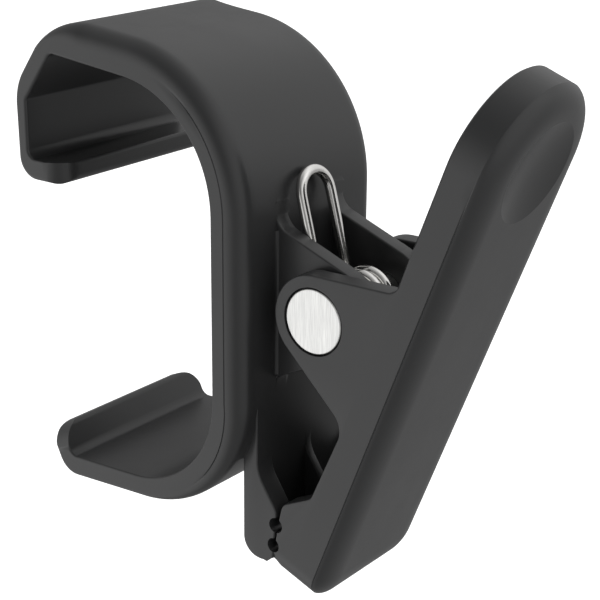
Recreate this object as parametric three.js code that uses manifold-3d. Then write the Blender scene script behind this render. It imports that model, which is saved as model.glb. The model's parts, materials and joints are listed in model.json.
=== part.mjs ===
// Rail hook with a sprung clip on its back, for hanging towels and gloves from a handle.
// Millimetres. +X runs from the rail side towards the lever, +Y across the width, +Z up.
// The origin is on the flat inner face of the hook's back wall, level with the pivot.
import * as THREE from 'three';
import { mergeVertices } from 'three/addons/utils/BufferGeometryUtils.js';
import Module from 'manifold-3d';

const wasm = await Module();
wasm.setup();

// ---------- driving dimensions ----------
const hookWidth = 34;
const backWall = 5.7;
const hookEdgeRound = 3.3;
const softEdge = 0.3;
const topWall = { inner: 30.74, outer: 35.94, slope: -0.0976, innerCurve: 19, outerCurve: 24.7 };
const lowerArm = { inner: -31.96, outer: -35.2, slope: 0.05, innerCurve: 17.4, outerCurve: 21 };
const leftWall = { inner: -38, outer: -40.3, innerTop: 26, outerTop: 28 };
const chamfer = { slope: 1.38, innerCurve: 1.2, outerCurve: 11, wall: 3 };
const ledge = { top: 16.4, bottom: 13, tip: -30.8, cornerRadius: 4.2 };
const lip = { root: -31, leanDegrees: 24, height: 5.4, wall: 3.1, cornerRadius: 4.6 };

const pivotX = 16.1;
const clipWidth = 26;
const bossRadius = 7.1;
const cheek = { inner: 5.5, outer: 8.4, boss: 9.55, bossRadius: 4.2 };
const earInner = 9.7;

const jawPlate = { back: 2.9, top: -12, bottom: -42.1 };
const jawRib = { side: 3.7, middle: 2.6, tipBar: 2.6, tipDrop: 0.2, rootTop: -25.5, rootCurve: 3 };
const toothNotch = { radius: 1.3, spacing: 3.95 };

const leverLean = THREE.MathUtils.degToRad(20.7);
const handle = { inner: 10.6, side: 15.7, outerTop: 17.9, outerBottom: 17.65, top: 45.7, bottom: -43.9 };
const handleBand = 5.2;
const handleFootCorner = 5;
const handleWall = 3.3;
const channelFloor = 15.2;
const thumbDish = { centre: 32.8, radius: 8, depth: 1.3 };

const pin = { radius: 2.75, neck: 1.9, headRadius: 5, headHeight: 1.3, socketRadius: 5.25 };
const pinClearance = 0.06;
const bearingClearance = 0.12;

const wire = { radius: 0.83, coilRadius: 4.25, turns: 3, halfSpan: 3.55, shift: -1, tailGap: 4.3 };
const hookArmTip = { x: backWall + 0.85, z: 18.9 };
const handleArmTip = { across: 14.3, along: 20 };

// ---------- materials ----------
const plastic = { color: 0x26282a, roughness: 0.55, metalness: 0 };
const brushedSteel = { color: 0xd8d8d4, roughness: 0.35, metalness: 1 };
const springSteel = { color: 0xc6c4be, roughness: 0.2, metalness: 1 };

// ---------- outlines ----------
// Each corner is [a, b, radius, edgeIn, edgeOut]: the last two are the edge rounding
// where its arc starts and ends. The outline runs anticlockwise.
function roundedOutline(corners, degreesPerStep = 9) {
  const points = [];
  corners.forEach(([a, b, radius, edgeIn = softEdge, edgeOut = edgeIn], index) => {
    const before = corners[(index + corners.length - 1) % corners.length];
    const after = corners[(index + 1) % corners.length];
    const corner = new THREE.Vector2(a, b);
    const arriving = corner.clone().sub(new THREE.Vector2(before[0], before[1])).normalize();
    const leaving = new THREE.Vector2(after[0], after[1]).sub(corner).normalize();
    const turn = Math.atan2(arriving.cross(leaving), arriving.dot(leaving));
    const setBack = radius * Math.abs(Math.tan(turn / 2));
    const side = Math.sign(turn);
    const centre = corner.clone().addScaledVector(arriving, -setBack);
    centre.add(new THREE.Vector2(-arriving.y, arriving.x).multiplyScalar(radius * side));
    const steps = Math.max(2, Math.ceil(Math.abs(THREE.MathUtils.radToDeg(turn)) / degreesPerStep));
    for (let step = 0; step <= steps; step += 1) {
      const share = step / steps;
      const along = arriving.clone().rotateAround(new THREE.Vector2(), turn * share);
      const outward = new THREE.Vector2(along.y, -along.x);
      const place = centre.clone().addScaledVector(outward, radius * side);
      points.push({ place, outward, edge: THREE.MathUtils.lerp(edgeIn, edgeOut, share) });
    }
  });
  return points;
}

// Where the line from a point touches a circle about the origin, on the left or right of it.
function tangentAngle(from, radius, side) {
  const reach = Math.hypot(from[0], from[1]);
  return Math.atan2(from[1], from[0]) + side * Math.acos(radius / reach);
}

function lineCrossing(pointA, slopeA, pointB, slopeB) {
  const x = (pointB[1] - pointA[1] + slopeA * pointA[0] - slopeB * pointB[0]) / (slopeA - slopeB);
  return [x, pointA[1] + slopeA * (x - pointA[0])];
}

// ---------- solids ----------
function toSolid(geometry) {
  geometry.deleteAttribute('normal');
  geometry.deleteAttribute('uv');
  const merged = mergeVertices(geometry, 1e-4);
  const vertProperties = new Float32Array(merged.attributes.position.array);
  const triVerts = new Uint32Array(merged.index.array);
  return new wasm.Manifold(new wasm.Mesh({ numProp: 3, vertProperties, triVerts }));
}

function toGeometry(solid) {
  const mesh = solid.getMesh();
  const geometry = new THREE.BufferGeometry();
  geometry.setAttribute('position', new THREE.BufferAttribute(mesh.vertProperties, 3));
  geometry.setIndex(new THREE.BufferAttribute(mesh.triVerts, 1));
  geometry.computeVertexNormals();
  return geometry;
}

function join(first, ...others) {
  return others.reduce((whole, piece) => whole.add(piece), first);
}

function cut(first, ...others) {
  return others.reduce((whole, piece) => whole.subtract(piece), first);
}

// Closed skin over a stack of rings that all have the same number of points.
function skinRings(rings, flatOutline) {
  const count = flatOutline.length;
  const positions = rings.flatMap((ring) => ring.flatMap((p) => [p.x, p.y, p.z]));
  const index = [];
  for (let ring = 0; ring + 1 < rings.length; ring += 1) {
    for (let i = 0; i < count; i += 1) {
      const next = (i + 1) % count;
      const low = ring * count;
      const high = low + count;
      index.push(low + i, low + next, high + next, low + i, high + next, high + i);
    }
  }
  const last = (rings.length - 1) * count;
  THREE.ShapeUtils.triangulateShape(flatOutline, []).forEach(([a, b, c]) => {
    index.push(c, b, a, last + a, last + b, last + c);
  });
  const geometry = new THREE.BufferGeometry();
  geometry.setAttribute('position', new THREE.Float32BufferAttribute(positions, 3));
  geometry.setIndex(index);
  return toSolid(geometry);
}

// A slab of an outline in the X-Z plane, |Y| <= width / 2, with its own round on every edge.
function roundedSlab(outline, width, steps = 5) {
  const rings = [];
  for (const end of [1, -1]) {
    const stack = [];
    for (let step = 0; step <= steps; step += 1) {
      const angle = (step / steps) * (Math.PI / 2);
      stack.push(outline.map(({ place, outward, edge }) => {
        const inset = edge * (1 - Math.sin(angle));
        const y = end * (width / 2 - edge * (1 - Math.cos(angle)));
        return new THREE.Vector3(place.x - outward.x * inset, y, place.y - outward.y * inset);
      }));
    }
    rings.push(...(end > 0 ? stack : stack.reverse()));
  }
  return skinRings(rings, outline.map(({ place, outward, edge }) => (
    place.clone().addScaledVector(outward, -edge))));
}

// A plain prism of an outline in the X-Z plane between two Y values.
function prismAlongY(outline, yLow, yHigh) {
  const shape = new THREE.Shape(outline.map(({ place }) => place));
  const geometry = new THREE.ExtrudeGeometry(shape, { depth: yHigh - yLow, bevelEnabled: false });
  geometry.rotateX(Math.PI / 2);
  geometry.translate(0, yHigh, 0);
  return toSolid(geometry);
}

function box(low, high) {
  const geometry = new THREE.BoxGeometry(high[0] - low[0], high[1] - low[1], high[2] - low[2]);
  geometry.translate((low[0] + high[0]) / 2, (low[1] + high[1]) / 2, (low[2] + high[2]) / 2);
  return toSolid(geometry);
}

function rodAlongY(x, z, radius, yLow, yHigh, sides = 40) {
  const geometry = new THREE.CylinderGeometry(radius, radius, yHigh - yLow, sides);
  geometry.translate(x, (yLow + yHigh) / 2, z);
  return toSolid(geometry);
}

// What a square corner loses when it is rounded: the corner is at the origin, its sides
// run along -X and -Y, and the cutter stands over |Z| <= depth / 2.
function cornerCutter(radius, depth, sideX, sideY) {
  const shape = new THREE.Shape();
  shape.moveTo(1, 1);
  shape.lineTo(-radius, 1);
  shape.lineTo(-radius, 0);
  shape.absarc(-radius, -radius, radius, Math.PI / 2, 0, true);
  shape.lineTo(1, -radius);
  shape.closePath();
  const geometry = new THREE.ExtrudeGeometry(shape, { depth, bevelEnabled: false, curveSegments: 8 });
  geometry.translate(0, 0, -depth / 2);
  if (sideX < 0) geometry.rotateY(Math.PI);
  if (sideY < 0) geometry.rotateX(Math.PI);
  return geometry;
}

// ---------- hook and fixed jaw: one moulding ----------
const lipLean = THREE.MathUtils.degToRad(lip.leanDegrees);
const lipRoot = [lip.root, lowerArm.inner + lowerArm.slope * lip.root];
const lipTip = [lipRoot[0] - lip.height * Math.sin(lipLean), lipRoot[1] + lip.height * Math.cos(lipLean)];
const lipBack = [lipTip[0] - lip.wall * Math.cos(lipLean), lipTip[1] - lip.wall * Math.sin(lipLean)];

// The rail hook's section, anticlockwise: over the outside first, then back along the inside.
function hookOutline() {
  const innerTop = [0, topWall.inner];
  const innerArm = [0, lowerArm.inner];
  const outerTop = [backWall, topWall.outer];
  const outerArm = [backWall, lowerArm.outer];
  const lipFoot = lineCrossing(lipBack, -1 / Math.tan(lipLean), outerArm, lowerArm.slope);
  const innerShoulder = [leftWall.inner, leftWall.innerTop];
  const chamferStep = chamfer.wall / Math.hypot(1, chamfer.slope);
  const outerShoulder = [innerShoulder[0] - chamfer.slope * chamferStep, innerShoulder[1] + chamferStep];
  const chamferInner = lineCrossing(innerShoulder, chamfer.slope, innerTop, topWall.slope);
  const chamferOuter = lineCrossing(outerShoulder, chamfer.slope, outerTop, topWall.slope);
  return roundedOutline([
    [...lipFoot, 4, 0.6],
    [...outerArm, lowerArm.outerCurve, 0.8, hookEdgeRound],
    [...outerTop, topWall.outerCurve, hookEdgeRound],
    [...chamferOuter, chamfer.outerCurve, hookEdgeRound, 0.5],
    [leftWall.outer, leftWall.outerTop, 9, 0.5],
    [leftWall.outer, ledge.bottom, 3.6, 0.8],
    [ledge.tip, ledge.bottom, 1.3, 0.9, 0.4],
    [ledge.tip, ledge.top, 0.6],
    [leftWall.inner, ledge.top, 1.6],
    [...innerShoulder, 1.2],
    [...chamferInner, chamfer.innerCurve],
    [...innerTop, topWall.innerCurve],
    [...innerArm, lowerArm.innerCurve],
    [...lipRoot, 1.8],
    [...lipTip, 0.9, 0.4],
    [...lipBack, 1, 0.4],
  ]);
}

// The two free ends of the hook have rounded corners across the width.
function hookCornerCutters() {
  const cutters = [];
  for (const side of [1, -1]) {
    const ledgeCutter = cornerCutter(ledge.cornerRadius, 6, 1, side);
    ledgeCutter.translate(ledge.tip, side * hookWidth / 2, (ledge.top + ledge.bottom) / 2);
    const lipCutter = cornerCutter(lip.cornerRadius, 4 * lip.wall, 1, side);
    lipCutter.rotateY(-Math.PI / 2 - lipLean);
    lipCutter.translate(lipTip[0], side * hookWidth / 2, lipTip[1]);
    cutters.push(toSolid(ledgeCutter), toSolid(lipCutter));
  }
  return cutters;
}

// One cheek: a web that runs from the hook's back wall out to the round pivot boss.
function cheekOutline() {
  const rootTop = [backWall - 0.05 - pivotX, 11.48];
  const rootBottom = [backWall - 0.05 - pivotX, -12.8];
  const topTouch = tangentAngle(rootTop, bossRadius, -1);
  const bottomTouch = tangentAngle(rootBottom, bossRadius, 1);
  const outline = roundedOutline([
    [-12.6, -15.5, 0.2],
    [rootBottom[0], -15.5, 0.2],
    [...rootBottom, 1.2],
    [bossRadius * Math.cos(bottomTouch), bossRadius * Math.sin(bottomTouch), 0.01],
    [bossRadius * Math.cos(topTouch), bossRadius * Math.sin(topTouch), 0.01],
    [...rootTop, 3.2],
    [rootTop[0], 15.5, 0.2],
    [-12.6, 15.5, 0.2],
  ]);
  return outline.map(({ place, outward, edge }) => (
    { place: place.clone().add(new THREE.Vector2(pivotX, 0)), outward, edge }));
}

// Tooth line of a jaw: where it starts at the top and how far it leans for each millimetre down.
const fixedTeeth = { x: 9.45, z: -32, slope: 0.085, firstNotch: -34.75, standOff: 0.1 };

function fixedJawRibOutline() {
  const tipZ = jawPlate.bottom - jawRib.tipDrop;
  const tipX = fixedTeeth.x - fixedTeeth.slope * (fixedTeeth.z - tipZ);
  return roundedOutline([
    [jawPlate.back + 0.6, jawPlate.bottom + 0.6, 2.6],
    [tipX, tipZ, 0.5],
    [fixedTeeth.x, fixedTeeth.z, 1.2],
    [backWall, jawRib.rootTop, jawRib.rootCurve],
    [backWall, jawPlate.top, 0.1],
    [jawPlate.back + 0.6, jawPlate.top, 0.1],
  ]);
}

function jawPlateOutline() {
  return roundedOutline([
    [jawPlate.back, jawPlate.bottom + 0.2, 3.2],
    [jawPlate.back + 4.4, jawPlate.bottom, 0.2],
    [backWall, jawPlate.bottom + 1.5, 0.2],
    [backWall, jawPlate.top, 0.2],
    [jawPlate.back, jawPlate.top, 0.2],
  ]);
}

// Three round notches whose centres stand off from the tooth line.
function toothCutters(teeth) {
  const cutters = [];
  for (let notch = 0; notch < 3; notch += 1) {
    const z = teeth.firstNotch - notch * toothNotch.spacing;
    const x = teeth.x - teeth.slope * (teeth.z - z) + teeth.standOff;
    cutters.push(rodAlongY(x, z, toothNotch.radius, -clipWidth, clipWidth, 20));
  }
  return cutters;
}

function buildHookFrame() {
  const half = clipWidth / 2;
  const band = cut(roundedSlab(hookOutline(), hookWidth), ...hookCornerCutters());
  const plate = prismAlongY(jawPlateOutline(), -half, half);
  const ribOutline = fixedJawRibOutline();
  const ribs = [
    prismAlongY(ribOutline, -half, -half + jawRib.side),
    prismAlongY(ribOutline, half - jawRib.side, half),
    prismAlongY(ribOutline, -jawRib.middle / 2, jawRib.middle / 2),
  ];
  const tipBar = prismAlongY(ribOutline, -half + 1, half - 1)
    .intersect(box([0, -half, jawPlate.bottom - 2], [20, half, jawPlate.bottom + jawRib.tipBar]));
  const cheeks = [1, -1].map((side) => {
    const web = prismAlongY(cheekOutline(), Math.min(side * cheek.inner, side * cheek.outer),
      Math.max(side * cheek.inner, side * cheek.outer));
    const boss = rodAlongY(pivotX, 0, bossRadius, Math.min(side * cheek.inner, side * cheek.outer),
      Math.max(side * cheek.inner, side * cheek.outer), 56);
    const washer = rodAlongY(pivotX, 0, cheek.bossRadius, Math.min(side * cheek.inner, side * cheek.boss),
      Math.max(side * cheek.inner, side * cheek.boss));
    return join(web, boss, washer);
  });
  const solid = join(band, plate, ...ribs, tipBar, ...cheeks);
  const pinBore = rodAlongY(pivotX, 0, pin.radius + pinClearance, -hookWidth, hookWidth);
  return cut(solid, pinBore, ...toothCutters(fixedTeeth));
}

// ---------- lever: handle, ears and moving jaw, one moulding ----------
// Modelled about the pivot with X out through the handle and Z up along it.
function handlePlan() {
  const half = clipWidth / 2;
  const topRadius = half - 0.1;
  return roundedOutline([
    [-half, handle.bottom, handleFootCorner],
    [half, handle.bottom, handleFootCorner],
    [half, handle.top, topRadius],
    [-half, handle.top, topRadius],
  ], 7.5);
}

function ringAt(plan, inset, across) {
  return plan.map(({ place, outward }) => (
    new THREE.Vector3(across, place.x - outward.x * inset, place.y - outward.y * inset)));
}

// How far out the broad face lies: the handle is a little thinner towards the jaw.
function outerFaceAt(z) {
  return THREE.MathUtils.mapLinear(z, handle.bottom, handle.top, handle.outerBottom, handle.outerTop);
}

// The handle's outside: straight side walls, then a wide crowned edge up to the broad face.
function handleShell(plan, steps = 6) {
  const rings = [ringAt(plan, 0, handle.inner)];
  for (let step = 0; step <= steps; step += 1) {
    const angle = (step / steps) * (Math.PI / 2);
    const inset = Math.min(handleBand * (1 - Math.cos(angle)), 3.9);
    const ring = ringAt(plan, inset, handle.side);
    ring.forEach((point) => {
      point.x += (outerFaceAt(point.z) - handle.side) * Math.sin(angle);
    });
    rings.push(ring);
  }
  return skinRings(rings, plan.map(({ place }) => place));
}

function thumbDishCutter() {
  const ballRadius = (thumbDish.radius ** 2 + thumbDish.depth ** 2) / (2 * thumbDish.depth);
  const profile = [new THREE.Vector2(0, -thumbDish.depth)];
  const rings = 7;
  for (let ring = 1; ring <= rings; ring += 1) {
    const reach = (ring / rings) * (thumbDish.radius + 0.6);
    const drop = ballRadius - Math.sqrt(ballRadius ** 2 - reach ** 2);
    profile.push(new THREE.Vector2(reach, drop - thumbDish.depth));
  }
  profile.push(new THREE.Vector2(thumbDish.radius + 0.6, 3));
  profile.push(new THREE.Vector2(0, 3));
  const geometry = new THREE.LatheGeometry(profile, 40);
  geometry.rotateZ(-Math.PI / 2);
  geometry.translate(outerFaceAt(thumbDish.centre), 0, thumbDish.centre);
  return toSolid(geometry);
}

const movingTeeth = { x: 6.15, z: -32, slope: -0.188, firstNotch: -34.7, standOff: -0.35 };

// One side plate: the round ear at the pivot, the window and the toothed jaw below it.
function sidePlateOutline() {
  const earTop = [handle.inner + 0.1, 11.9];
  const windowTop = [handle.inner + 0.2, -14];
  const topTouch = tangentAngle(earTop, bossRadius, 1);
  const bottomTouch = tangentAngle(windowTop, bossRadius, -1);
  const jawTipX = movingTeeth.x - movingTeeth.slope * (movingTeeth.z - handle.bottom);
  return roundedOutline([
    [bossRadius * Math.cos(bottomTouch), bossRadius * Math.sin(bottomTouch), 0.01],
    [...windowTop, 1.7],
    [handle.inner + 0.2, -25, 1.7],
    [5.7, -29.7, 1.5],
    [movingTeeth.x, movingTeeth.z, 0.3],
    [jawTipX, handle.bottom, 0.4],
    [handle.side - 1, handle.bottom, 0.2],
    [handle.side - 1, 20, 0.2],
    [handle.inner + 0.1, 20, 0.2],
    [...earTop, 2],
    [bossRadius * Math.cos(topTouch), bossRadius * Math.sin(topTouch), 0.01],
  ]);
}

function buildLever() {
  const half = clipWidth / 2;
  const plan = handlePlan();
  const sideOutline = sidePlateOutline();
  const outerEnvelope = skinRings([ringAt(plan, 0, -12), ringAt(plan, 0, 30)], plan.map((p) => p.place));
  const channel = skinRings([ringAt(plan, handleWall, 0), ringAt(plan, handleWall, channelFloor)],
    plan.map(({ place, outward }) => place.clone().addScaledVector(outward, -handleWall)));
  const hollowHandle = cut(handleShell(plan), channel);
  const sides = [1, -1].map((side) => join(
    prismAlongY(sideOutline, Math.min(side * earInner, side * half), Math.max(side * earInner, side * half)),
    rodAlongY(0, 0, bossRadius, Math.min(side * earInner, side * half), Math.max(side * earInner, side * half), 56),
  ));
  const jawBlock = prismAlongY(sideOutline, -half, half)
    .intersect(box([0, -half, handle.bottom - 1], [channelFloor + 0.2, half, handle.bottom + jawRib.tipBar]));
  const jawRibMiddle = prismAlongY(sideOutline, -jawRib.middle / 2, jawRib.middle / 2)
    .intersect(box([0, -half, handle.bottom - 1], [channelFloor + 0.2, half, -26]));
  const whole = join(hollowHandle, ...sides, jawBlock, jawRibMiddle).intersect(outerEnvelope);
  const bore = rodAlongY(0, 0, pin.radius + bearingClearance, -hookWidth, hookWidth);
  const sockets = [1, -1].map((side) => rodAlongY(0, 0, pin.socketRadius,
    Math.min(side * (half - pin.headHeight - 0.15), side * (half + 1)),
    Math.max(side * (half - pin.headHeight - 0.15), side * (half + 1))));
  return cut(whole, bore, ...sockets, thumbDishCutter(), ...toothCutters(movingTeeth));
}

// ---------- pivot pin and its cap ----------
function buildPivotPin() {
  const half = clipWidth / 2;
  const neckStart = half - pin.headHeight - 0.1;
  const profile = [
    [0, -half], [pin.headRadius - 0.25, -half], [pin.headRadius, -half + 0.25],
    [pin.headRadius, -half + pin.headHeight], [pin.radius, -half + pin.headHeight],
    [pin.radius, neckStart], [pin.neck, neckStart],
    [pin.neck, half - 0.45], [0, half - 0.45],
  ];
  return new THREE.LatheGeometry(profile.map(([r, y]) => new THREE.Vector2(r, y)), 48);
}

function buildPinCap() {
  const half = clipWidth / 2;
  const bore = pin.neck + 0.03;
  const profile = [
    [0, half - 0.4], [bore, half - 0.4], [bore, half - pin.headHeight],
    [pin.headRadius, half - pin.headHeight], [pin.headRadius, half - 0.25],
    [pin.headRadius - 0.25, half], [0, half],
  ];
  return new THREE.LatheGeometry(profile.map(([r, y]) => new THREE.Vector2(r, y)), 48);
}

// ---------- torsion spring: one wire ----------
// Both arms are long U bends that span the whole coil. One leans on the hook's back, the
// other on the floor of the handle's channel, and each ends in a tail just short of the coil.
const coilNearY = wire.shift - wire.halfSpan;
const coilFarY = wire.shift + wire.halfSpan;

// The arm as a list of points from its cut tail, round the U bend and back to the coil.
function springArm(tip, touchAngle, tailY, coilY) {
  const touch = new THREE.Vector2(Math.cos(touchAngle), Math.sin(touchAngle)).multiplyScalar(wire.coilRadius);
  const length = tip.distanceTo(touch);
  const along = tip.clone().sub(touch).divideScalar(length);
  const pointAt = (reach, y) => (
    new THREE.Vector3(pivotX + touch.x + along.x * reach, y, touch.y + along.y * reach));
  const bendStart = length - wire.halfSpan;
  const legSteps = 7;
  const bendSteps = 10;
  const points = [];
  for (let step = 0; step < legSteps; step += 1) {
    points.push(pointAt(THREE.MathUtils.lerp(wire.tailGap, bendStart, step / legSteps), tailY));
  }
  for (let step = 0; step < bendSteps; step += 1) {
    const angle = (step / bendSteps) * Math.PI;
    const y = wire.shift + (tailY - wire.shift) * Math.cos(angle);
    points.push(pointAt(bendStart + wire.halfSpan * Math.sin(angle), y));
  }
  for (let step = 0; step < legSteps; step += 1) {
    points.push(pointAt(THREE.MathUtils.lerp(bendStart, 0, step / legSteps), coilY));
  }
  return points;
}

function springCoil(startAngle, endAngle) {
  const steps = Math.round((endAngle - startAngle) * 2.4);
  const points = [];
  for (let step = 0; step <= steps; step += 1) {
    const angle = THREE.MathUtils.lerp(startAngle, endAngle, step / steps);
    points.push(new THREE.Vector3(pivotX + wire.coilRadius * Math.cos(angle),
      THREE.MathUtils.lerp(coilNearY, coilFarY, step / steps), wire.coilRadius * Math.sin(angle)));
  }
  return points;
}

function buildSpring() {
  const hookTip = new THREE.Vector2(hookArmTip.x - pivotX, hookArmTip.z);
  const handleTip = new THREE.Vector2(handleArmTip.across, handleArmTip.along)
    .rotateAround(new THREE.Vector2(), -leverLean);
  const coilStart = tangentAngle([hookTip.x, hookTip.y], wire.coilRadius, 1);
  const coilEnd = tangentAngle([handleTip.x, handleTip.y], wire.coilRadius, -1);
  const hookArm = springArm(hookTip, coilStart, coilFarY, coilNearY);
  const handleArm = springArm(handleTip, coilEnd, coilNearY, coilFarY).reverse();
  const coil = springCoil(coilStart, coilEnd + (wire.turns + 1) * 2 * Math.PI);
  const path = new THREE.CatmullRomCurve3([...hookArm, ...coil, ...handleArm], false, 'centripetal');
  const section = new THREE.Shape();
  section.absarc(0, 0, wire.radius, 0, 2 * Math.PI, false);
  return new THREE.ExtrudeGeometry(section, {
    steps: 150,
    curveSegments: 4,
    bevelEnabled: false,
    extrudePath: path,
  });
}

// ---------- assembly ----------
function piece(name, geometry, look) {
  const mesh = new THREE.Mesh(geometry, new THREE.MeshStandardMaterial(look));
  mesh.name = name;
  return mesh;
}

const assembly = new THREE.Group();
assembly.add(piece('hook_frame', toGeometry(buildHookFrame()), plastic));

const pivotGroup = new THREE.Group();
pivotGroup.position.set(pivotX, 0, 0);
pivotGroup.add(piece('pivot_pin', buildPivotPin(), brushedSteel));
pivotGroup.add(piece('pin_cap', buildPinCap(), brushedSteel));

const leverGroup = new THREE.Group();
leverGroup.rotation.y = leverLean;
leverGroup.add(piece('lever', toGeometry(buildLever()), plastic));
pivotGroup.add(leverGroup);
assembly.add(pivotGroup);

assembly.add(piece('torsion_spring', buildSpring(), springSteel));

export default assembly;
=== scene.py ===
import json
import math

import bmesh
import bpy
import numpy as np
from mathutils import Matrix, Vector

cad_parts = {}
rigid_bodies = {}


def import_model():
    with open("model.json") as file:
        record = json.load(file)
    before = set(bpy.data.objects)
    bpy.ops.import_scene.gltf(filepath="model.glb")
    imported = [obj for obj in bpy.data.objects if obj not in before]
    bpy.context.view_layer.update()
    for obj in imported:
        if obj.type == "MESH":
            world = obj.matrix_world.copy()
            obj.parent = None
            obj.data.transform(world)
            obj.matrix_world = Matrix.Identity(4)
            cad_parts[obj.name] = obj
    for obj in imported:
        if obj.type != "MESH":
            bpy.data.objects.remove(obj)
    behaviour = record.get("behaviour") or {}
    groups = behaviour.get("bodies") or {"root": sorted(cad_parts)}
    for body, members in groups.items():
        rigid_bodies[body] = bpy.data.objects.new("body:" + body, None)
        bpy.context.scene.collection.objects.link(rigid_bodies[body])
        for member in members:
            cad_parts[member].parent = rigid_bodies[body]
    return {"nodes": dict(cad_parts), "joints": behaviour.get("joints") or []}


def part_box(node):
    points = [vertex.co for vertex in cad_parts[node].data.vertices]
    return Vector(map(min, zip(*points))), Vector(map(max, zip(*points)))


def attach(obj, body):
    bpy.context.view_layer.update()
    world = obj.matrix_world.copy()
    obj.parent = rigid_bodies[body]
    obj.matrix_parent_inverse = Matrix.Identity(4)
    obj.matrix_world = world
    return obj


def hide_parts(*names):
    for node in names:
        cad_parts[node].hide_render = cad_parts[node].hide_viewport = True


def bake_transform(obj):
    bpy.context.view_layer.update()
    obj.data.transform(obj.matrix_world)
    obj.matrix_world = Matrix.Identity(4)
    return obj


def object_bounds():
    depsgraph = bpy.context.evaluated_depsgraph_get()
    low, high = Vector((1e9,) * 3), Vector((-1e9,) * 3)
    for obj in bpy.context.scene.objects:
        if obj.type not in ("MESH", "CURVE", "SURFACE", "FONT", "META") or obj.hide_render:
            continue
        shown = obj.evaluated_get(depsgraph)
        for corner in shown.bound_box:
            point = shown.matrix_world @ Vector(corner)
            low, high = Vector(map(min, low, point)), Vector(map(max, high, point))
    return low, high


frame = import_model()
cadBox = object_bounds()
mm = 0.001
print("frame loaded:", ", ".join(sorted(frame["nodes"])))

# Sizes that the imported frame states, in millimetres.
hookLow, hookHigh = (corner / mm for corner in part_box("hook_frame"))
pinLow, pinHigh = (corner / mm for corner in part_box("pivot_pin"))
pivotX = frame["joints"][0]["pos_m"][0] / mm
hookWidth = hookHigh.y - hookLow.y
clipHalf = -pinLow.y
pinHeadRadius = (pinHigh.x - pinLow.x) / 2


def unit(vector):
    return vector / np.linalg.norm(vector)


def turned(vector, angle):
    c, s = math.cos(angle), math.sin(angle)
    return np.array([vector[0] * c - vector[1] * s, vector[0] * s + vector[1] * c])


# Each corner is (a, b, radius, edgeIn, edgeOut); the outline runs anticlockwise.
def roundedOutline(corners, softEdge=0.3, degreesPerStep=3.0, longestStep=2.5):
    places, outwards, edges = [], [], []
    for index, corner in enumerate(corners):
        a, b, radius = corner[:3]
        edgeIn = corner[3] if len(corner) > 3 else softEdge
        edgeOut = corner[4] if len(corner) > 4 else edgeIn
        here = np.array([a, b], float)
        arriving = unit(here - np.array(corners[index - 1][:2], float))
        leaving = unit(np.array(corners[(index + 1) % len(corners)][:2], float) - here)
        turn = math.atan2(arriving[0] * leaving[1] - arriving[1] * leaving[0], arriving @ leaving)
        side = 1 if turn > 0 else -1
        centre = here - arriving * radius * abs(math.tan(turn / 2))
        centre = centre + np.array([-arriving[1], arriving[0]]) * radius * side
        steps = max(4, math.ceil(abs(math.degrees(turn)) / degreesPerStep))
        for step in range(steps + 1):
            share = step / steps
            along = turned(arriving, turn * share)
            outward = np.array([along[1], -along[0]])
            places.append(centre + outward * radius * side)
            outwards.append(outward)
            edges.append(edgeIn + (edgeOut - edgeIn) * share)
    return spread(places, outwards, edges, longestStep)


# Long straight runs get points between their ends, so that shading and bending stay even.
def spread(places, outwards, edges, longestStep):
    made = ([], [], [])
    for i in range(len(places)):
        j = (i + 1) % len(places)
        parts = max(1, math.ceil(np.linalg.norm(places[j] - places[i]) / longestStep))
        for part in range(parts):
            share = part / parts
            made[0].append(places[i] * (1 - share) + places[j] * share)
            made[1].append(unit(outwards[i] * (1 - share) + outwards[j] * share))
            made[2].append(edges[i] * (1 - share) + edges[j] * share)
    return np.array(made[0]), np.array(made[1]), np.array(made[2])


def tangentAngle(point, radius, side):
    return math.atan2(point[1], point[0]) + side * math.acos(radius / math.hypot(*point))


def lineCrossing(pointA, slopeA, pointB, slopeB):
    x = (pointB[1] - pointA[1] + slopeA * pointA[0] - slopeB * pointB[0]) / (slopeA - slopeB)
    return (x, pointA[1] + slopeA * (x - pointA[0]))


# Skins a stack of rings that all have the same number of points, and closes both ends.
def solidFromRings(name, rings):
    mesh = bmesh.new()
    layers = [[mesh.verts.new(point) for point in ring] for ring in rings]
    for low, high in zip(layers, layers[1:]):
        for i in range(len(low)):
            j = (i + 1) % len(low)
            mesh.faces.new((low[i], low[j], high[j], high[i]))
    mesh.faces.new(layers[0])
    mesh.faces.new(layers[-1][::-1])
    bmesh.ops.recalc_face_normals(mesh, faces=mesh.faces)
    data = bpy.data.meshes.new(name)
    mesh.to_mesh(data)
    mesh.free()
    made = bpy.data.objects.new(name, data)
    bpy.context.scene.collection.objects.link(made)
    return made


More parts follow.
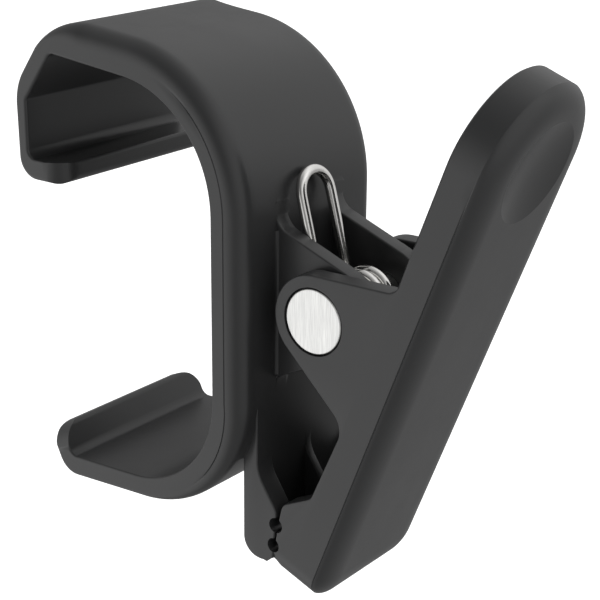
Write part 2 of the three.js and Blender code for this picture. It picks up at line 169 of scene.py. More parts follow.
# A slab of an X-Z outline between two Y values, with a round on both of its rims.
# Where the round is wide, a fine parting groove runs along its start and fades out towards the rail side.
def slab(name, outline, yLow, yHigh, steps=6, groove=0.0, ringEvery=2.0):
    places, outwards, edges = outline
    halfGroove = 0.12
    rings = []
    for end, level in ((-1, yLow), (1, yHigh)):
        stack = []
        if groove:
            wideRound = np.clip((edges - 1) / 1.2, 0, 1)
            nearBack = np.clip(places[:, 0] / 9 + 0.9, 0, 1)
            share = wideRound * nearBack
            for further, deeper in ((2 * halfGroove, 0.0), (halfGroove, groove)):
                flat = places - outwards * (edges + further)[:, None]
                stack.append(np.column_stack([flat[:, 0], level - end * deeper * share, flat[:, 1]]))
        for step in range(steps + 1):
            angle = math.pi / 2 * step / steps
            flat = places - outwards * (edges * (1 - math.sin(angle)))[:, None]
            y = level - end * edges * (1 - math.cos(angle))
            stack.append(np.column_stack([flat[:, 0], y, flat[:, 1]]))
        if end < 0:
            rings += stack
            middles = max(1, round((yHigh - yLow) / ringEvery))
            widest = edges.max()
            for y in np.linspace(yLow + widest, yHigh - widest, middles + 1)[1:-1]:
                rings.append(np.column_stack([places[:, 0], np.full(len(places), y), places[:, 1]]))
        else:
            rings += stack[::-1]
    return solidFromRings(name, rings)


def rodAlongY(name, x, z, radius, yLow, yHigh, edge=0.0, sides=96):
    turns = np.arange(sides) * 2 * math.pi / sides
    outwards = np.column_stack([np.cos(turns), np.sin(turns)])
    outline = (outwards * radius + [x, z], outwards, np.full(sides, edge))
    return slab(name, outline, min(yLow, yHigh), max(yLow, yHigh), 5 if edge else 1)


def block(name, low, high):
    corners = np.array([[low[0], low[2]], [high[0], low[2]], [high[0], high[2]], [low[0], high[2]]])
    rings = [np.column_stack([corners[:, 0], np.full(4, y), corners[:, 1]]) for y in (low[1], high[1])]
    return solidFromRings(name, rings)


def combine(base, operation, *others):
    for other in others:
        step = base.modifiers.new(operation, "BOOLEAN")
        step.operation = operation
        step.solver = "MANIFOLD"
        step.object = other
    finished = bpy.data.meshes.new_from_object(base.evaluated_get(bpy.context.evaluated_depsgraph_get()))
    base.modifiers.clear()
    base.data = finished
    for other in others:
        bpy.data.objects.remove(other)
    return base


def finishMesh(piece, sharpDegrees, placement=None):
    piece.data.transform((placement or Matrix.Identity(4)).to_4x4())
    piece.data.transform(Matrix.Scale(mm, 4))
    mesh = bmesh.new()
    mesh.from_mesh(piece.data)
    bmesh.ops.remove_doubles(mesh, verts=mesh.verts, dist=0.002 * mm)
    mesh.to_mesh(piece.data)
    mesh.free()
    piece.data.shade_smooth()
    piece.data.set_sharp_from_angle(angle=math.radians(sharpDegrees))
    return piece


# A shader socket that can be used in expressions.
class Signal:
    def __init__(self, tree, socket=None):
        self.tree = tree
        self.socket = socket

    def node(self, kind, settings=None, inputs=None, output=0):
        made = self.tree.nodes.new(kind)
        for name, value in (settings or {}).items():
            setattr(made, name, value)
        for name, value in (inputs or {}).items():
            if isinstance(value, Signal):
                self.tree.links.new(value.socket, made.inputs[name])
            else:
                made.inputs[name].default_value = value
        return Signal(self.tree, made.outputs[output])

    def maths(self, operation, first, second):
        return self.node("ShaderNodeMath", {"operation": operation}, {0: first, 1: second})

    def __add__(self, other):
        return self.maths("ADD", self, other)

    __radd__ = __add__

    def __sub__(self, other):
        return self.maths("SUBTRACT", self, other)

    def __rsub__(self, other):
        return self.maths("SUBTRACT", other, self)

    def __mul__(self, other):
        return self.maths("MULTIPLY", self, other)

    __rmul__ = __mul__

    def noise(self, where, scale, detail=2.0, roughness=0.5):
        return self.node("ShaderNodeTexNoise", {}, {
            "Vector": where, "Scale": scale, "Detail": detail, "Roughness": roughness})

    def stretched(self, where, amounts):
        return self.node("ShaderNodeMapping", {}, {"Vector": where, "Scale": amounts})

    def stepped(self, low, high):
        return self.node("ShaderNodeMapRange", {"interpolation_type": "SMOOTHSTEP"}, {
            "Value": self, "From Min": low, "From Max": high})

    def blended(self, first, second):
        return self.node("ShaderNodeMix", {"data_type": "RGBA"}, {0: self, 6: first, 7: second}, 2)


def newMaterial(name):
    material = bpy.data.materials.new(name)
    material.use_nodes = True
    shader = next(n for n in material.node_tree.nodes if n.type == "BSDF_PRINCIPLED")
    start = Signal(material.node_tree)
    where = start.node("ShaderNodeTexCoord", {}, {}, 3)
    return material, shader, start, where


def feed(shader, name, signal):
    signal.tree.links.new(signal.socket, shader.inputs[name])


mouldedPlasticLook = {
    "colour": (0.0350, 0.0353, 0.0358, 1), "worn": (0.048, 0.049, 0.050, 1),
    "roughness": 0.33, "roughnessSwing": 0.10, "specular": 0.46,
    "grainPerMetre": 5200, "grainHeight": 0.000012, "grainStrength": 0.35,
}


# Black moulded plastic with a fine spark-eroded grain, faint flow marks and light scuffs.
def mouldedPlastic(name, look, shift):
    material, shader, start, where = newMaterial(name)
    where = start.node("ShaderNodeVectorMath", {"operation": "ADD"}, {0: where, 1: shift})
    flow = start.noise(start.stretched(where, (1, 1, 0.35)), 90, 3)
    patches = start.noise(where, 260, 4, 0.6)
    grain = start.noise(where, look["grainPerMetre"], 3, 0.65)
    pits = start.node("ShaderNodeTexVoronoi", {}, {"Vector": where, "Scale": look["grainPerMetre"] * 0.42})
    scratchBed = start.noise(start.stretched(where, (1, 1, 0.06)), 2600, 2)
    scuffs = scratchBed.stepped(0.66, 0.74) * patches.stepped(0.50, 0.68)
    feed(shader, "Base Color", (scuffs * 0.5 + flow * 0.35).blended(look["colour"], look["worn"]))
    rough = look["roughness"] + (flow - 0.5) * look["roughnessSwing"] + (patches - 0.5) * 0.06
    feed(shader, "Roughness", rough + (grain - 0.5) * 0.10 + scuffs * 0.08)
    height = grain * 0.7 + pits * 0.5 + patches * 0.8 - scuffs * 0.6
    feed(shader, "Normal", start.node("ShaderNodeBump", {}, {
        "Height": height, "Distance": look["grainHeight"], "Strength": look["grainStrength"]}))
    shader.inputs["Specular IOR Level"].default_value = look["specular"]
    return material


brushedSteelLook = {
    "colour": (0.86, 0.86, 0.84, 1), "shade": (0.66, 0.66, 0.65, 1),
    "roughness": 0.34, "linesPerMetre": 9000, "lineHeight": 0.000010,
}


# Brushed steel: long fine lines up the face, each a little brighter or duller than the next.
def brushedSteel(name, look):
    material, shader, start, where = newMaterial(name)
    fine = start.noise(start.stretched(where, (1, 1, 0.035)), look["linesPerMetre"], 3, 0.6)
    broad = start.noise(start.stretched(where, (1, 1, 0.06)), look["linesPerMetre"] * 0.18, 3, 0.6)
    smudge = start.noise(where, 320, 3)
    lines = fine * 0.6 + broad * 0.4
    feed(shader, "Base Color", lines.stepped(0.36, 0.66).blended(look["shade"], look["colour"]))
    feed(shader, "Roughness", look["roughness"] + (lines - 0.5) * 0.22 + (smudge - 0.5) * 0.08)
    feed(shader, "Normal", start.node("ShaderNodeBump", {}, {
        "Height": lines, "Distance": look["lineHeight"], "Strength": 0.5}))
    shader.inputs["Metallic"].default_value = 1
    shader.inputs["Anisotropic"].default_value = 0.35
    return material


springWireLook = {
    "colour": (0.78, 0.77, 0.75, 1), "shade": (0.52, 0.51, 0.50, 1), "roughness": 0.16,
}


# Hard-drawn wire: bright, with faint die lines and dull specks.
def drawnWire(name, look):
    material, shader, start, where = newMaterial(name)
    dieLines = start.noise(start.stretched(where, (1, 1, 0.12)), 6500, 3, 0.6)
    specks = start.noise(where, 2100, 4, 0.7)
    dull = specks.stepped(0.58, 0.76)
    feed(shader, "Base Color", dull.blended(look["colour"], look["shade"]))
    feed(shader, "Roughness", look["roughness"] + (dieLines - 0.5) * 0.12 + dull * 0.14)
    feed(shader, "Normal", start.node("ShaderNodeBump", {}, {
        "Height": dieLines, "Distance": 0.000006, "Strength": 0.4}))
    shader.inputs["Metallic"].default_value = 1
    return material


def dress(piece, body, material):
    piece.data.materials.clear()
    piece.data.materials.append(material)
    if body:
        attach(piece, body)
    return piece


# The rail hook with its fixed jaw and its cheeks is one moulding.
hookSizes = {
    "backWall": 5.7, "edgeRound": 3.1, "groove": 0.12,
    "topInner": 30.74, "topOuter": 35.94, "topSlope": -0.0976, "topInnerCurve": 19, "topOuterCurve": 24.7,
    "armInner": -31.96, "armOuter": -35.2, "armSlope": 0.05, "armInnerCurve": 17.4, "armOuterCurve": 21,
    "leftInner": -38, "leftOuter": -40.3, "shoulderInner": 26, "shoulderOuter": 28,
    "chamferSlope": 1.38, "chamferInnerCurve": 1.2, "chamferOuterCurve": 11, "chamferWall": 3,
    "ledgeTop": 16.4, "ledgeBottom": 13, "ledgeTip": -30.8, "ledgeCorner": 4.2,
    "lipRoot": -31, "lipLean": 24, "lipHeight": 5.4, "lipWall": 3.1, "lipCorner": 4.6,
    "widenFrom": -20, "widenOver": 16, "widenBy": 2.4,
}
cheekSizes = {
    "inner": 5.5, "outer": 8.4, "boss": 9.55, "bossRadius": 4.2, "eyeRadius": 7.1, "boreRadius": 2.81,
    "rootTop": 11.48, "rootBottom": -12.8, "rootFillet": 0.6,
}
jawSizes = {
    "back": 2.9, "top": -12, "bottom": -42.1, "side": 3.7, "middle": 1.4, "tipBar": 2.6, "tipDrop": 0.2,
    "rootTop": -27.3, "rootCurve": 6, "notchRadius": 1.25, "notchSpacing": 3.6, "notches": 3,
    "toothX": 9.45, "toothZ": -32.9, "toothSlope": 0.085, "firstNotch": -35.2, "standOff": 0.1,
    "softEdge": 0.25,
}


def lipPoints(sizes):
    lean = math.radians(sizes["lipLean"])
    root = (sizes["lipRoot"], sizes["armInner"] + sizes["armSlope"] * sizes["lipRoot"])
    tip = (root[0] - sizes["lipHeight"] * math.sin(lean), root[1] + sizes["lipHeight"] * math.cos(lean))
    back = (tip[0] - sizes["lipWall"] * math.cos(lean), tip[1] - sizes["lipWall"] * math.sin(lean))
    return lean, root, tip, back


def hookOutline(sizes):
    lean, lipRoot, lipTip, lipBack = lipPoints(sizes)
    roundIn = sizes["edgeRound"]
    innerTop = (0, sizes["topInner"])
    innerArm = (0, sizes["armInner"])
    outerTop = (sizes["backWall"], sizes["topOuter"])
    outerArm = (sizes["backWall"], sizes["armOuter"])
    lipFoot = lineCrossing(lipBack, -1 / math.tan(lean), outerArm, sizes["armSlope"])
    innerShoulder = (sizes["leftInner"], sizes["shoulderInner"])
    chamferStep = sizes["chamferWall"] / math.hypot(1, sizes["chamferSlope"])
    outerShoulder = (innerShoulder[0] - sizes["chamferSlope"] * chamferStep, innerShoulder[1] + chamferStep)
    chamferInner = lineCrossing(innerShoulder, sizes["chamferSlope"], innerTop, sizes["topSlope"])
    chamferOuter = lineCrossing(outerShoulder, sizes["chamferSlope"], outerTop, sizes["topSlope"])
    return roundedOutline([
        (*lipFoot, 4, 0.6),
        (*outerArm, sizes["armOuterCurve"], 0.8, roundIn),
        (*outerTop, sizes["topOuterCurve"], roundIn),
        (*chamferOuter, sizes["chamferOuterCurve"], roundIn, 0.5),
        (sizes["leftOuter"], sizes["shoulderOuter"], 9, 0.5),
        (sizes["leftOuter"], sizes["ledgeBottom"], 3.6, 0.8),
        (sizes["ledgeTip"], sizes["ledgeBottom"], 1.3, 0.9, 0.4),
        (sizes["ledgeTip"], sizes["ledgeTop"], 0.6),
        (sizes["leftInner"], sizes["ledgeTop"], 1.6, 0.3, 0.55),
        (*innerShoulder, 1.2, 0.55),
        (*chamferInner, sizes["chamferInnerCurve"], 0.5),
        (*innerTop, sizes["topInnerCurve"]),
        (*innerArm, sizes["armInnerCurve"]),
        (*lipRoot, 1.8),
        (*lipTip, 0.9, 0.4),
        (*lipBack, 1, 0.4),
    ])


# What a square corner in plan loses when it is rounded; depth runs along the local Z.
def cornerCutter(name, radius, depth, sideY, placement):
    points = [(1, 1), (-radius, 1)]
    for step in range(17):
        angle = math.pi / 2 * (1 - step / 16)
        points.append((radius * (math.cos(angle) - 1), radius * (math.sin(angle) - 1)))
    points.append((1, -radius))
    rings = [[(x, y * sideY, z) for x, y in points] for z in (-depth / 2, depth / 2)]
    cutter = solidFromRings(name, rings)
    cutter.data.transform(placement)
    return cutter


# Round notches down a jaw's gripping line, which starts at the tooth's corner and leans by its slope.
def toothCutters(line, jaw):
    notchReach = clipHalf + 5
    cutters = []
    for notch in range(jaw["notches"]):
        z = line["firstNotch"] - notch * jaw["notchSpacing"]
        x = line["toothX"] - line["toothSlope"] * (line["toothZ"] - z) + line["standOff"]
        cutters.append(rodAlongY("notch", x, z, jaw["notchRadius"], -notchReach, notchReach))
    return cutters


# A small fillet up the corner between a cheek's outer face and the hook's back.
def rootFillet(sizes, wall, side):
    radius = sizes["rootFillet"]
    corner = [(wall - 0.4, sizes["outer"] - 0.4), (wall + radius, sizes["outer"] - 0.4)]
    for angle in np.linspace(0, math.pi / 2, 8):
        corner.append((wall + radius * (1 - math.sin(angle)),
                       sizes["outer"] + radius * (1 - math.cos(angle))))
    corner.append((wall - 0.4, sizes["outer"] + radius))
    ends = (sizes["rootBottom"] + radius, sizes["rootTop"] - radius)
    rings = [[(x, side * y, z) for x, y in corner] for z in ends]
    return solidFromRings("root_fillet", rings)


# Rounds the four corners in plan: two on the ledge and two on the lip.
def cutBandCorners(band, sizes):
    lean, _, lipTip, _ = lipPoints(sizes)
    upright = Matrix.Rotation(-math.pi / 2 - lean, 4, "Y")
    ledgeMiddle = (sizes["ledgeTop"] + sizes["ledgeBottom"]) / 2
    cutters = []
    for side in (1, -1):
        edgeY = side * hookWidth / 2
        atLedge = Matrix.Translation((sizes["ledgeTip"], edgeY, ledgeMiddle))
        cutters.append(cornerCutter("ledge_corner", sizes["ledgeCorner"], 6, side, atLedge))
        atLip = Matrix.Translation((lipTip[0], edgeY, lipTip[1])) @ upright
        cutters.append(cornerCutter("lip_corner", sizes["lipCorner"], 4 * sizes["lipWall"], side, atLip))
    combine(band, "DIFFERENCE", *cutters)


# The fixed jaw: a thin back plate, a rib at each side and one in the middle, and a bar across the tip.
def fixedJawParts(jaw, wall):
    plate = slab("jaw_plate", roundedOutline([
        (jaw["back"], jaw["bottom"] + 0.2, 3.2), (jaw["back"] + 4.4, jaw["bottom"], 0.3),
        (wall, jaw["bottom"] + 1.5, 0.3), (wall, jaw["top"], 0.3), (jaw["back"], jaw["top"], 0.3),
    ], jaw["softEdge"]), -clipHalf, clipHalf)
    tipZ = jaw["bottom"] - jaw["tipDrop"]
    tipX = jaw["toothX"] - jaw["toothSlope"] * (jaw["toothZ"] - tipZ)
    ribBack = jaw["back"] + 0.6
    rib = roundedOutline([
        (ribBack, jaw["bottom"] + 0.6, 2.6), (tipX, tipZ, 0.5), (jaw["toothX"], jaw["toothZ"], 2.2),
        (wall, jaw["rootTop"], jaw["rootCurve"]), (wall, jaw["top"], 0.3), (ribBack, jaw["top"], 0.3),
    ], jaw["softEdge"])
    parts = [plate]
    for low, high in ((-clipHalf, -clipHalf + jaw["side"]), (clipHalf - jaw["side"], clipHalf),
                      (-jaw["middle"] / 2, jaw["middle"] / 2)):
        parts.append(slab("jaw_rib", rib, low, high))
    tipBar = slab("jaw_tip", rib, -clipHalf + 1, clipHalf - 1)
    barTop = jaw["bottom"] + jaw["tipBar"]
    tipRoom = block("tip_room", (0, -clipHalf, jaw["bottom"] - 2), (20, clipHalf, barTop))
    parts.append(combine(tipBar, "INTERSECT", tipRoom))
    return parts


# Two cheeks carry the pin, each with a raised washer round it and a small fillet at its root.
def cheekParts(cheek, wall):
    web = cheekOutlineWithEye(cheek, wall)
    parts = []
    for side in (1, -1):
        inner, outer, boss = side * cheek["inner"], side * cheek["outer"], side * cheek["boss"]
        parts.append(slab("cheek", web, min(inner, outer), max(inner, outer)))
        parts.append(rodAlongY("washer", pivotX, 0, cheek["bossRadius"], inner, boss, 0.2))
        parts.append(rootFillet(cheek, wall, side))
    return parts


def buildHook(sizes, cheek, jaw):
    wall = sizes["backWall"]
    band = slab("hook_body", hookOutline(sizes), -hookWidth / 2, hookWidth / 2, 12, sizes["groove"], 1.2)
    cutBandCorners(band, sizes)
    combine(band, "UNION", *fixedJawParts(jaw, wall), *cheekParts(cheek, wall))
    bore = rodAlongY("bore", pivotX, 0, cheek["boreRadius"], -hookWidth, hookWidth)
    combine(band, "DIFFERENCE", bore, *toothCutters(jaw, jaw))
    widenFarEnd(band, sizes)
    return finishMesh(band, 32)


# Above the pivot, the rail side of the hook reaches a little further across at its far end.
def widenFarEnd(piece, sizes):
    for vertex in piece.data.vertices:
        share = min(1, max(0, (sizes["widenFrom"] - vertex.co.x) / sizes["widenOver"]))
        if vertex.co.y > 0 and vertex.co.z > 0 and share > 0:
            vertex.co.y *= 1 + sizes["widenBy"] * share * share * (3 - 2 * share) / (hookWidth / 2)


# The cheek's web and its round eye as one outline.
def cheekOutlineWithEye(sizes, wall):
    rootX = wall - 0.05 - pivotX
    rootTop, rootBottom = (rootX, sizes["rootTop"]), (rootX, sizes["rootBottom"])
    eye = sizes["eyeRadius"]
    topTouch = tangentAngle(rootTop, eye, -1)
    bottomTouch = tangentAngle(rootBottom, eye, 1)
    places, outwards, edges = roundedOutline([
        (-12.6, -15.5, 0.3, 0.1), (rootX, -15.5, 0.3, 0.1), (*rootBottom, 1.2),
        (eye * math.cos(bottomTouch), eye * math.sin(bottomTouch), 0.01),
        (eye * math.cos(topTouch), eye * math.sin(topTouch), 0.01),
        (*rootTop, 3.2), (rootX, 15.5, 0.3, 0.1), (-12.6, 15.5, 0.3, 0.1),
    ])
    return withArc(places, outwards, edges, eye, bottomTouch, topTouch)


# Replaces the straight run between two touching points by the circle's own arc.
def withArc(places, outwards, edges, radius, low, high):
    start = np.array([math.cos(low), math.sin(low)]) * radius
    end = np.array([math.cos(high), math.sin(high)]) * radius
    first = int(np.argmin(np.linalg.norm(places - start, axis=1)))
    last = int(np.argmin(np.linalg.norm(places - end, axis=1)))
    span = (high - low) % (2 * math.pi)
    turns = low + span * np.linspace(0, 1, max(8, math.ceil(math.degrees(span) / 3)))
    arcOut = np.column_stack([np.cos(turns), np.sin(turns)])
    keepEnd = np.arange(last + 1, last + 1 + (first - last - 1) % len(places)) % len(places)
    newPlaces = np.vstack([arcOut * radius, places[keepEnd]])
    newOut = np.vstack([arcOut, outwards[keepEnd]])
    newEdges = np.concatenate([np.full(len(turns), 0.3), edges[keepEnd]])
    return newPlaces + [pivotX, 0], newOut, newEdges


hookBody = buildHook(hookSizes, cheekSizes, jawSizes)
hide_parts("hook_frame")
hookPlastic = mouldedPlastic("hook plastic", mouldedPlasticLook, (0, 0, 0))
dress(hookBody, "frame", hookPlastic)
print("hook body:", len(hookBody.data.polygons), "faces")


# The lever is one moulding too: hollow handle, ears and moving jaw.
leverSizes = {
    "leanDegrees": 20.7, "inner": 10.6, "side": 15.7, "outerTop": 17.9, "outerBottom": 17.65,
    "top": 45.7, "bottom": -43.9, "footCorner": 5, "wall": 3.3, "channelFloor": 15.2,
    "band": 4.85, "bandStartDegrees": 11,
    "groove": 0.10, "halfGroove": 0.13, "grooveTop": 36, "grooveFade": 12,
    "earInner": 9.7, "eyeRadius": 7.1,
    "dishCentre": 32.8, "dishRadius": 8, "dishDepth": 1.3,
    "toothX": 6.15, "toothZ": -33.4, "toothSlope": -0.188, "firstNotch": -35.3, "standOff": -0.35,
    "boreRadius": 2.87, "socketRadius": 5.25, "socketDepth": 1.45, "ribTop": -26, "sharpDegrees": 17,
}


def handlePlan(sizes):
    topRadius = clipHalf - 0.1
    return roundedOutline([
        (-clipHalf, sizes["bottom"], sizes["footCorner"]), (clipHalf, sizes["bottom"], sizes["footCorner"]),
        (clipHalf, sizes["top"], topRadius), (-clipHalf, sizes["top"], topRadius),
    ])


def planRing(plan, inset, across):
    flat = plan[0] - plan[1] * inset
    return np.column_stack([np.full(len(flat), across), flat[:, 0], flat[:, 1]])


def outerFaceAt(z, sizes):
    share = (z - sizes["bottom"]) / (sizes["top"] - sizes["bottom"])
    return sizes["outerBottom"] + (sizes["outerTop"] - sizes["outerBottom"]) * share


# Straight side walls, a fine groove that fades out at the top, then a wide crowned band
# that runs out into the broad face.
def handleShell(plan, sizes, steps=18):
    side, start = sizes["side"], math.radians(sizes["bandStartDegrees"])
    rings = [planRing(plan, 0.3, sizes["inner"]), planRing(plan, 0, sizes["inner"] + 0.3)]
    halfGroove = sizes["halfGroove"]
    rings += [planRing(plan, 0, x) for x in np.linspace(sizes["inner"] + 1.2, side - 2 * halfGroove, 4)]
    fading = np.clip((sizes["grooveTop"] - plan[0][:, 1:]) / sizes["grooveFade"], 0.02, 1)
    rings.append(planRing(plan, sizes["groove"] * fading, side - halfGroove))
    for step in range(steps + 1):
        angle = start + (math.pi / 2 - start) * step / steps
        inset = sizes["band"] * (math.cos(start) - math.cos(angle)) / math.cos(start)
        rise = (math.sin(angle) - math.sin(start)) / (1 - math.sin(start))
        ring = planRing(plan, inset, side)
        ring[:, 0] += (outerFaceAt(ring[:, 2], sizes) - side) * rise
        rings.append(ring)
    return solidFromRings("lever_body", rings)


# A shallow round dish for the thumb, cut by the bottom of a large ball.
def thumbDish(sizes):
    ball = (sizes["dishRadius"] ** 2 + sizes["dishDepth"] ** 2) / (2 * sizes["dishDepth"])
    reachMost = sizes["dishRadius"] + 0.6
    level = outerFaceAt(sizes["dishCentre"], sizes)
    turns = np.arange(120) * 2 * math.pi / 120
    rings = []
    for reach in (*np.linspace(0.05, reachMost, 24), reachMost):
        depth = ball - math.sqrt(ball ** 2 - reach ** 2) - sizes["dishDepth"]
        across, along = reach * np.cos(turns), sizes["dishCentre"] + reach * np.sin(turns)
        rings.append(np.column_stack([np.full(len(turns), level + depth), across, along]))
    rings[-1][:, 0] = level + 3
    return solidFromRings("dish", rings)


# The lever's side in outline: the ear round the pin, the window and the moving jaw's tooth.
def sidePlate(sizes):
    eye = sizes["eyeRadius"]
    earTop = (sizes["inner"] + 0.1, 11.9)
    windowTop = (sizes["inner"] + 0.1, -12.3)
    topTouch = tangentAngle(earTop, eye, 1)
    bottomTouch = tangentAngle(windowTop, eye, -1)
    tipX = sizes["toothX"] - sizes["toothSlope"] * (sizes["toothZ"] - sizes["bottom"])
    places, outwards, edges = roundedOutline([
        (eye * math.cos(bottomTouch), eye * math.sin(bottomTouch), 0.01),
        (*windowTop, 3.6), (sizes["inner"] - 0.6, -26.8, 1.7), (5.9, -31.2, 1.9),
        (sizes["toothX"], sizes["toothZ"], 0.3), (tipX, sizes["bottom"], 0.4),
        (sizes["side"] - 1, sizes["bottom"], 0.3, 0.1), (sizes["side"] - 1, 20, 0.3, 0.1),
        (sizes["inner"] + 0.1, 20, 0.3, 0.1), (*earTop, 2),
        (eye * math.cos(topTouch), eye * math.sin(topTouch), 0.01),
    ])
    made = withArc(places, outwards, edges, eye, topTouch, bottomTouch)
    return made[0] - [pivotX, 0], made[1], made[2]


# What lies inside the lever's room between two heights, over the whole width.
def keptBetween(piece, low, high, sizes):
    room = block("room", (0, -clipHalf, low), (sizes["channelFloor"] + 0.2, clipHalf, high))
    return combine(piece, "INTERSECT", room)


def buildLever(sizes, jaw):
    plan = handlePlan(sizes)
    lever = handleShell(plan, sizes)
    channel = [planRing(plan, sizes["wall"], across) for across in (0, sizes["channelFloor"])]
    combine(lever, "DIFFERENCE", solidFromRings("channel", channel))
    plate = sidePlate(sizes)
    envelope = solidFromRings("envelope", [planRing(plan, 0, across) for across in (-12, 30)])
    sides = [slab("side_plate", plate, low, high)
             for low, high in ((sizes["earInner"], clipHalf), (-clipHalf, -sizes["earInner"]))]
    below, barTop = sizes["bottom"] - 1, sizes["bottom"] + jaw["tipBar"]
    tipBar = keptBetween(slab("jaw_block", plate, -clipHalf, clipHalf), below, barTop, sizes)
    middle = slab("jaw_middle", plate, -jaw["middle"] / 2, jaw["middle"] / 2)
    keptBetween(middle, below, sizes["ribTop"], sizes)
    combine(lever, "UNION", *sides, tipBar, middle)
    combine(lever, "INTERSECT", envelope)
    cutters = [rodAlongY("bore", 0, 0, sizes["boreRadius"], -hookWidth, hookWidth), thumbDish(sizes)]
    for side in (1, -1):
        socketFloor = side * (clipHalf - sizes["socketDepth"])
        cutters.append(rodAlongY("socket", 0, 0, sizes["socketRadius"], socketFloor, side * (clipHalf + 1)))
    cutters += toothCutters(sizes, jaw)
    combine(lever, "DIFFERENCE", *cutters)
    lean = Matrix.Translation((pivotX, 0, 0)) @ Matrix.Rotation(math.radians(sizes["leanDegrees"]), 4, "Y")
    return finishMesh(lever, sizes["sharpDegrees"], lean)


leverBody = buildLever(leverSizes, jawSizes)
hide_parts("lever")
leverPlastic = mouldedPlastic("lever plastic", mouldedPlasticLook, (0.2, 0.1, 0.3))
dress(leverBody, "lever", leverPlastic)
print("lever body:", len(leverBody.data.polygons), "faces")


pinSizes = {
    "radius": 2.75, "neck": 1.9, "neckEnd": 0.45, "headHeight": 1.3, "bevel": 0.28, "crown": 0.05,
}


def turnedAboutPivot(name, profile, sides=144):
    turns = np.arange(sides) * 2 * math.pi / sides
    rings = []
    for radius, y in profile:
        rings.append(np.column_stack([
            pivotX + radius * np.cos(turns), np.full(sides, y), radius * np.sin(turns)]))
    return finishMesh(solidFromRings(name, rings), 28)


# The head from its barrel to the middle of its face: a small round, then a face that is barely crowned.
def headRim(sizes, side):
    bevel = sizes["bevel"]
    rim = []
    rimHeight = clipHalf - sizes["crown"]
    for angle in np.linspace(0, math.pi / 2, 7):
        rim.append((pinHeadRadius - bevel * (1 - math.cos(angle)),
                    side * (rimHeight - bevel * (1 - math.sin(angle)))))
    for share in np.linspace(0.8, 0.02, 8):
        rim.append((pinHeadRadius * share, side * (clipHalf - sizes["crown"] * share ** 2)))
    return rim


# A headed pin, stepped down at its far end to a neck that carries the cap.
def buildPin(sizes):
    shoulder = clipHalf - sizes["headHeight"]
    neckEnd = clipHalf - sizes["neckEnd"]
    profile = headRim(sizes, -1)[::-1]
    profile += [(pinHeadRadius, -shoulder), (sizes["radius"], -shoulder), (sizes["radius"], shoulder - 0.1)]
    profile += [(sizes["neck"], shoulder - 0.1), (sizes["neck"], neckEnd), (0.1, neckEnd)]
    return turnedAboutPivot("pin_near", profile)


def buildCap(sizes):
    shoulder = clipHalf - sizes["headHeight"]
    bore, boreEnd = sizes["neck"] + 0.03, clipHalf - sizes["neckEnd"] + 0.05
    profile = [(0.1, boreEnd), (bore, boreEnd), (bore, shoulder), (pinHeadRadius, shoulder)]
    return turnedAboutPivot("pin_far", profile + headRim(sizes, 1))


steelFinish = brushedSteel("brushed pin steel", brushedSteelLook)
nearPin, farPin = buildPin(pinSizes), buildCap(pinSizes)
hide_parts("pivot_pin")
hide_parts("pin_cap")
dress(nearPin, "frame", steelFinish)
dress(farPin, "frame", steelFinish)
print("pin and cap done")


# The torsion spring is one wire, wound a little over three turns, with a long U bend at both ends.
wireSizes = {
    "radius": 0.83, "coilRadius": 4.25, "turns": 3, "halfSpan": 3.55, "shift": -1, "tailGap": 4.3,
    "hookTipOut": 0.85, "hookTipUp": 18.9, "handleTipAcross": 14.3, "handleTipUp": 20,
    "sides": 24, "stepLength": 0.35, "endBevel": 0.15, "coilSteps": 200,
}


# One arm from its free tail, out and round the U bend at its tip, and back to where it meets the coil.
def springArm(sizes, tip, touchAngle, tailY, coilY):
    touch = np.array([math.cos(touchAngle), math.sin(touchAngle)]) * sizes["coilRadius"]
    length = np.linalg.norm(tip - touch)
    along = (tip - touch) / length
    bendStart = length - sizes["halfSpan"]
    legs = np.linspace(sizes["tailGap"], bendStart, 30, endpoint=False)
    points = [(reach, tailY) for reach in legs]
    for angle in np.linspace(0, math.pi, 30, endpoint=False):
        points.append((bendStart + sizes["halfSpan"] * math.sin(angle),
                       sizes["shift"] + (tailY - sizes["shift"]) * math.cos(angle)))
    points += [(reach, coilY) for reach in np.linspace(bendStart, 0, 34, endpoint=False)]
    return [np.array([pivotX + touch[0] + along[0] * r, y, touch[1] + along[1] * r]) for r, y in points]


def springPath(sizes):
    lean = math.radians(leverSizes["leanDegrees"])
    hookTip = np.array([hookSizes["backWall"] + sizes["hookTipOut"] - pivotX, sizes["hookTipUp"]])
    handleTip = turned(np.array([sizes["handleTipAcross"], sizes["handleTipUp"]], float), -lean)
    coilStart = tangentAngle(hookTip, sizes["coilRadius"], 1)
    coilEnd = tangentAngle(handleTip, sizes["coilRadius"], -1) + (sizes["turns"] + 1) * 2 * math.pi
    nearY, farY = sizes["shift"] - sizes["halfSpan"], sizes["shift"] + sizes["halfSpan"]
    path = springArm(sizes, hookTip, coilStart, farY, nearY)
    for share in np.linspace(0, 1, sizes["coilSteps"] + 1):
        angle = coilStart + (coilEnd - coilStart) * share
        path.append(np.array([pivotX + sizes["coilRadius"] * math.cos(angle),
                              nearY + (farY - nearY) * share, sizes["coilRadius"] * math.sin(angle)]))
    path += springArm(sizes, handleTip, coilEnd, nearY, farY)[::-1]
    return np.array(path)


# The path again with its small kinks eased and with even steps.
def evenPath(path, stepLength):
    for _ in range(3):
        path[1:-1] = path[:-2] * 0.25 + path[1:-1] * 0.5 + path[2:] * 0.25
    reach = np.concatenate([[0], np.cumsum(np.linalg.norm(np.diff(path, axis=0), axis=1))])
    marks = np.linspace(0, reach[-1], math.ceil(reach[-1] / stepLength))
    return np.column_stack([np.interp(marks, reach, path[:, axis]) for axis in range(3)])


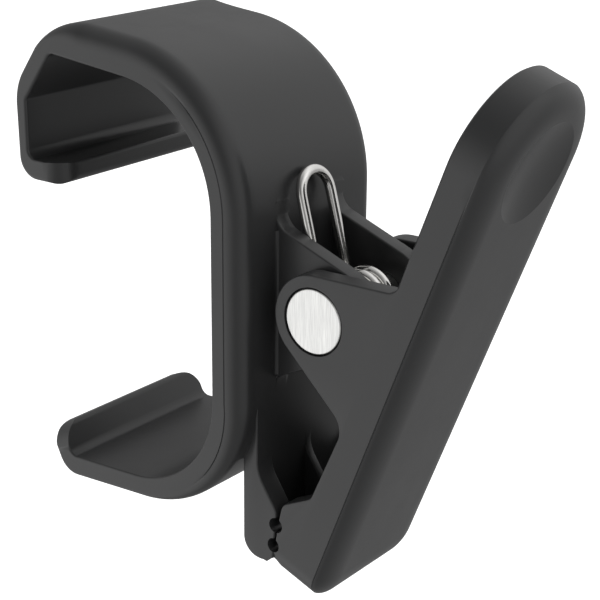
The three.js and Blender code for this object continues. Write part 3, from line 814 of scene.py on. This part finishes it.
def buildWire(sizes):
    path = evenPath(springPath(sizes), sizes["stepLength"])
    tangents = np.gradient(path, axis=0)
    tangents /= np.linalg.norm(tangents, axis=1)[:, None]
    side = np.cross(tangents[0], [0, 1, 0])
    turns = np.arange(sizes["sides"]) * 2 * math.pi / sizes["sides"]
    rings = []
    radius, bevel = sizes["radius"], sizes["endBevel"]
    for index, (point, tangent) in enumerate(zip(path, tangents)):
        side = unit(side - tangent * (side @ tangent))
        other = np.cross(tangent, side)
        ring = point + (np.cos(turns)[:, None] * side + np.sin(turns)[:, None] * other) * radius
        if index in (0, len(path) - 1):
            smaller = point + (ring - point) * (radius - bevel) / radius
            inner = ring + tangent * (bevel if index == 0 else -bevel)
            rings += [smaller, inner] if index == 0 else [inner, smaller]
        else:
            rings.append(ring)
    return finishMesh(solidFromRings("spring_coil", rings), 40)


springWire = buildWire(wireSizes)
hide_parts("torsion_spring")
dress(springWire, None, drawnWire("spring wire", springWireLook))
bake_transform(springWire)
print("spring wire:", len(springWire.data.polygons), "faces")


stageSizes = {
    "floorDrop": 0.09, "floorReach": 3.0, "floorTone": (0.90, 0.90, 0.90, 1), "floorGlow": 0.8,
}


def makeFloor(sizes):
    low = cadBox[0]
    reach = sizes["floorReach"]
    floor = bpy.data.meshes.new("floor")
    z = low.z - sizes["floorDrop"]
    corners = [(-reach, -reach, z), (reach, -reach, z), (reach, reach, z), (-reach, reach, z)]
    floor.from_pydata(corners, [], [(0, 1, 2, 3)])
    made = bpy.data.objects.new("floor", floor)
    bpy.context.scene.collection.objects.link(made)
    material, shader = newMaterial("pale floor")[:2]
    shader.inputs["Base Color"].default_value = sizes["floorTone"]
    shader.inputs["Roughness"].default_value = 0.9
    shader.inputs["Specular IOR Level"].default_value = 0.1
    shader.inputs["Emission Color"].default_value = (1, 1, 1, 1)
    shader.inputs["Emission Strength"].default_value = sizes["floorGlow"]
    floor.materials.append(material)
    # The tent goes on below the floor and lights the object from there too, so the floor blocks nothing.
    made.visible_glossy = False
    made.visible_diffuse = False
    made.visible_shadow = False


# Each soft light: where it comes from, and how bright it is. A black card takes light away.
tentLights = {
    "key, front left and low": ((-0.57, -0.75, -0.33), 0.70),
    "left side": ((-0.90, -0.40, -0.10), 0.20),
    "right side": ((0.95, -0.10, 0.30), 0.48),
    "far right": ((0.57, 0.75, -0.33), 0.08),
    "above": ((-0.30, 0.30, 0.90), 0.12),
    "above right": ((0.45, -0.10, 0.90), 0.16),
    "far side and above": ((0.25, 0.72, 0.60), 0.46),
    "black card, front and above": ((0.10, -0.80, 0.63), -0.20),
}
tentFill = 0.33
lobeEdge, lobeCore = 0.50, 0.97  # cosines: a light is full in its core and gone at its edge


# A studio tent: a dim surround with a few large soft lights in it.
def makeTent(lights, fill):
    world = bpy.data.worlds.new("studio tent")
    bpy.context.scene.world = world
    world.use_nodes = True
    start = Signal(world.node_tree)
    background = next(n for n in world.node_tree.nodes if n.type == "BACKGROUND")
    background.inputs["Color"].default_value = (1, 1, 1, 1)
    where = start.node("ShaderNodeTexCoord", {}, {}, 0)
    strength = fill
    for direction, level in lights.values():
        facing = start.node("ShaderNodeVectorMath", {"operation": "DOT_PRODUCT"}, {0: where, 1: direction}, 1)
        strength = facing.stepped(lobeEdge, lobeCore) * level + strength
    world.node_tree.links.new(strength.socket, background.inputs["Strength"])


cameraSizes = {
    "place": (0.14680, -0.18709, 0.08066), "lens": 95.8, "sensor": 36,
    "forward": (-0.5723, 0.7488, -0.3344), "right": (0.7927, 0.6096, 0.0084), "up": (-0.2101, 0.2602, 0.9424),
}


def makeCamera(sizes):
    data = bpy.data.cameras.new("camera")
    data.lens = sizes["lens"]
    data.sensor_width = sizes["sensor"]
    data.clip_start = 0.01
    data.clip_end = 20
    camera = bpy.data.objects.new("camera", data)
    turn = Matrix((sizes["right"], sizes["up"], -Vector(sizes["forward"]))).transposed()
    camera.matrix_world = Matrix.Translation(sizes["place"]) @ turn.to_4x4()
    bpy.context.scene.collection.objects.link(camera)
    bpy.context.scene.camera = camera


makeFloor(stageSizes)
makeTent(tentLights, tentFill)
makeCamera(cameraSizes)
bpy.context.scene.view_settings.view_transform = "Standard"
print("floor, light and camera done")
